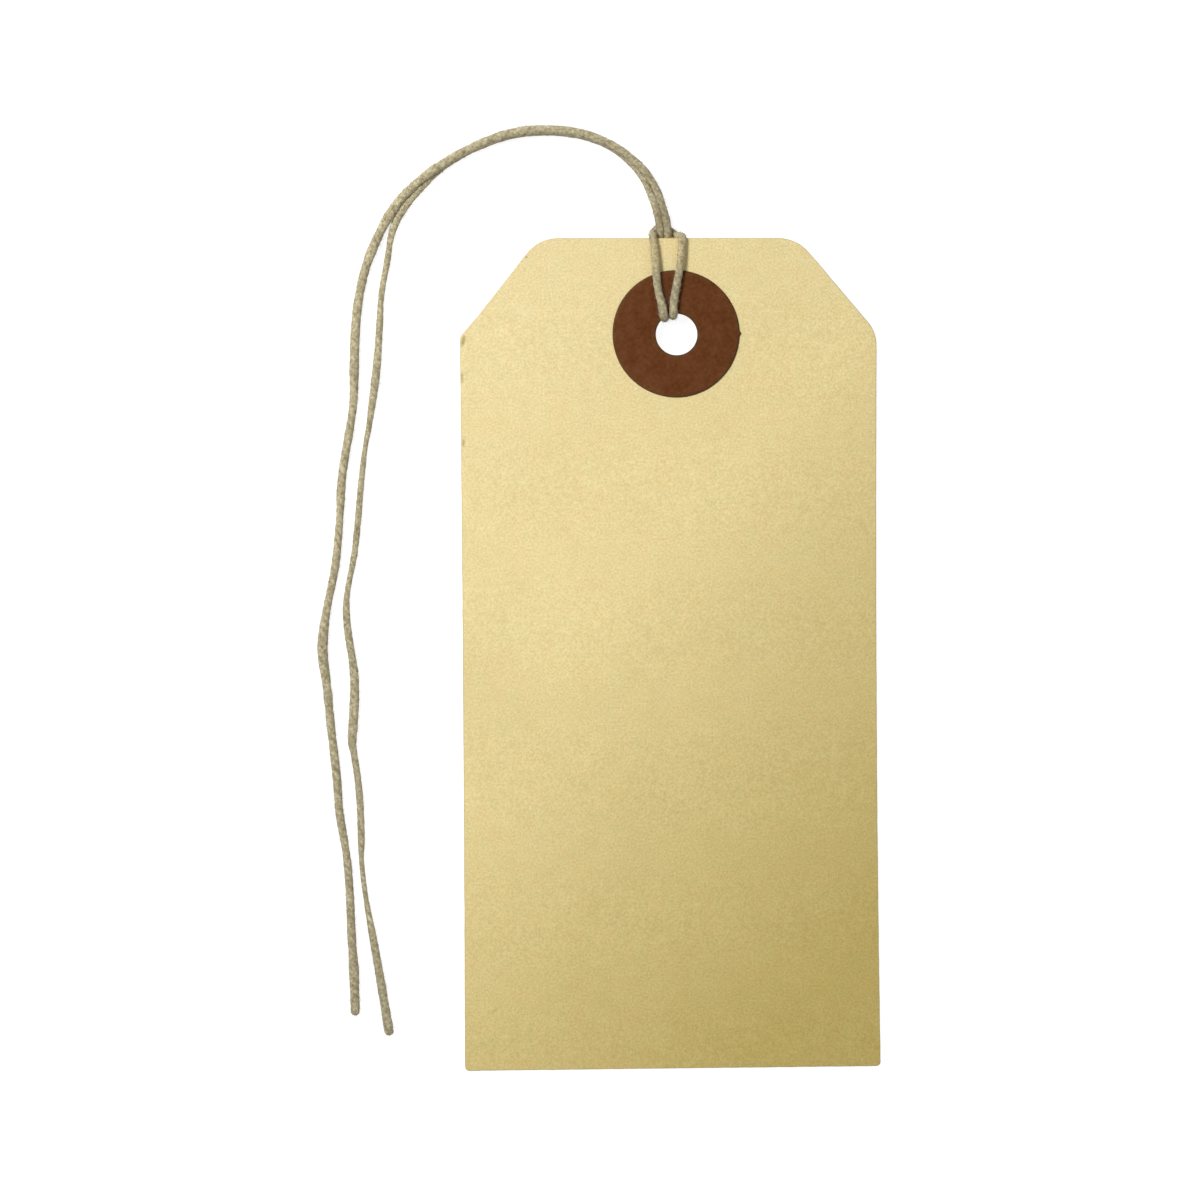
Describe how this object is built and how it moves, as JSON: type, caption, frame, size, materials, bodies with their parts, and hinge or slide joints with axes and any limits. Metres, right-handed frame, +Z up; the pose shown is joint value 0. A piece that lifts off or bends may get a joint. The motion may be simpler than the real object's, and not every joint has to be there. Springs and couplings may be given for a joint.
{
  "type": "gift tag",
  "caption": "Manila gift tag with clipped shoulders, a fibre-patched eyelet on both sides and a doubled string hitched through it with two loose tails.",
  "frame": {"origin": "on the table, under the middle of the card as it lies face up", "axes": "+Y along the card towards the eyelet, +Z up out of its front face, +X to the right seen from above"},
  "size_m": [0.0642, 0.1083, 0.0029],
  "materials": {
    "manila": "matte",
    "fibre": "matte",
    "string": "matte"
  },
  "bodies": {
    "tag": {"tag_card": "manila", "front_patch": "fibre", "rear_patch": "fibre", "string_hitch": "string"},
    "tails": {"string_outer_tail": "string", "string_inner_tail": "string"}
  },
  "joints": [
    {"name": "string_flip", "type": "hinge", "parent": "tag", "child": "tails", "pos_m": [-0.00047, 0.04972, 0.0015], "axis": [0, 1, 0], "range_deg": [0, 180]}
  ]
}
